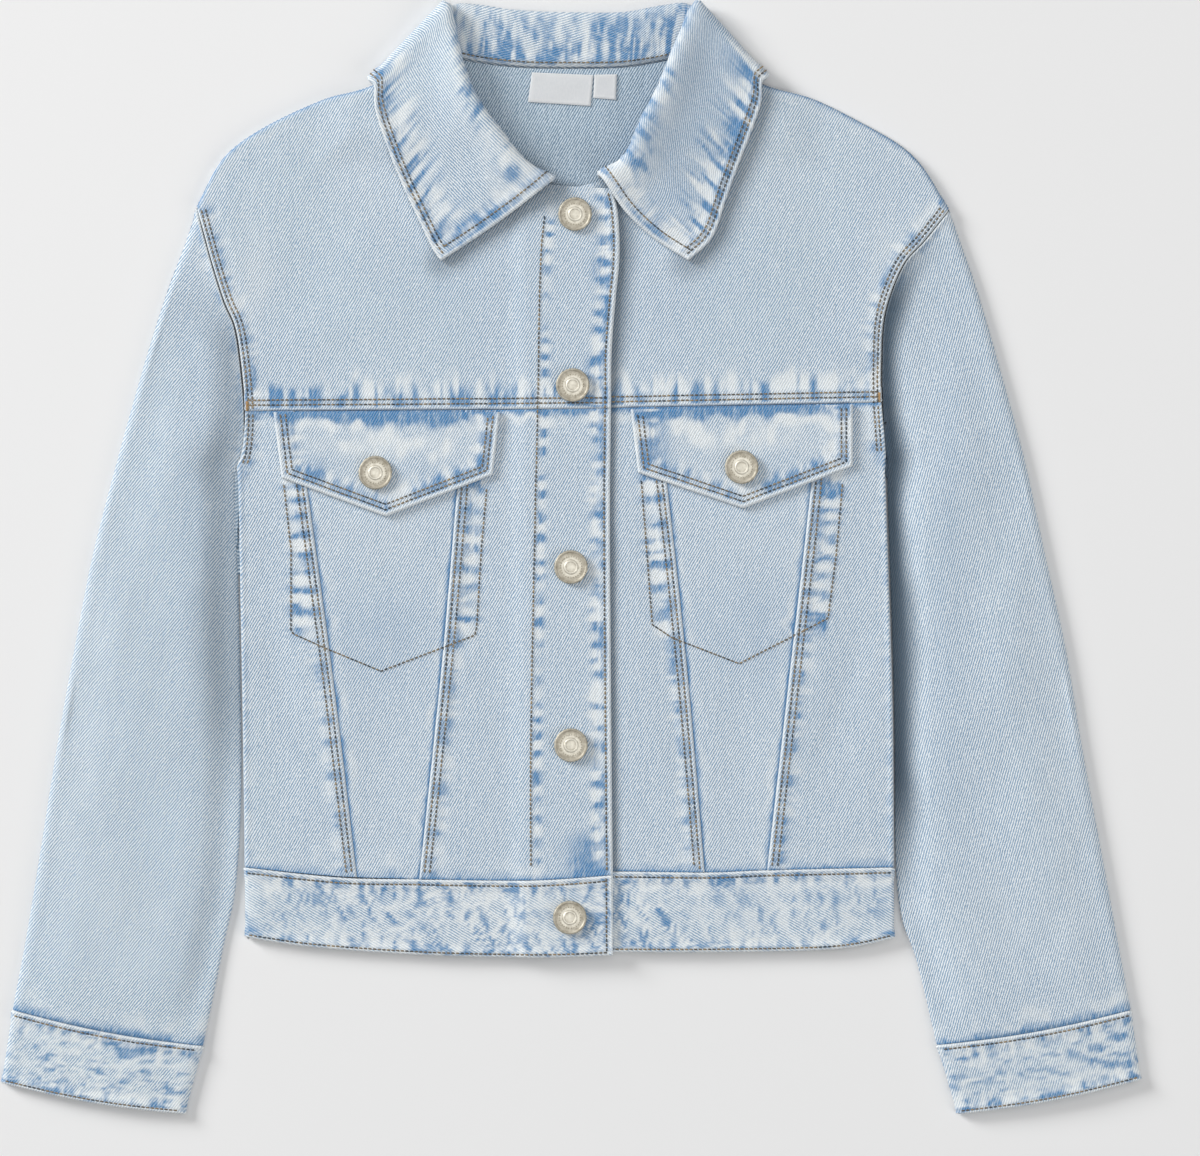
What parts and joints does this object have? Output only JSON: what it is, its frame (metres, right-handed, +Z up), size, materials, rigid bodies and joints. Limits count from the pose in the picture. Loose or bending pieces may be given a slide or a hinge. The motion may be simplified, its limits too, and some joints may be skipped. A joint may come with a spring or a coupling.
{
  "type": "denim jacket",
  "caption": "Flat-laid child's denim jacket with pointed collar, button front, flap pockets, slanting seams, waistband and cuffed sleeves.",
  "frame": {"origin": "on the surface the jacket lies on, under the middle of its outline", "axes": "+Z up off the surface, out of the jacket's front; +Y towards the collar; +X towards the wearer's left"},
  "size_m": [0.5925, 0.5792, 0.0185],
  "materials": {
    "denim": "light washed blue twill, worn white at the seams",
    "button_metal": "antique nickel, satin, raised rim and centre",
    "label_cloth": "plain woven tape, bare"
  },
  "bodies": {
    "root": {"back_yoke": "denim", "back_body": "denim", "front_yoke_right": "denim", "front_yoke_left": "denim", "front_side_right": "denim", "front_side_left": "denim", "front_middle_right": "denim", "front_middle_left": "denim", "front_center_right": "denim", "front_center_left": "denim", "flap_right": "denim", "flap_left": "denim", "sleeve_right": "denim", "sleeve_left": "denim", "cuff_right": "denim", "cuff_left": "denim", "waistband": "denim", "collar": "denim", "button_1": "button_metal", "button_2": "button_metal", "button_3": "button_metal", "button_4": "button_metal", "button_5": "button_metal", "flap_button_right": "button_metal", "flap_button_left": "button_metal", "label_main": "label_cloth", "label_size": "label_cloth"}
  },
  "joints": []
}
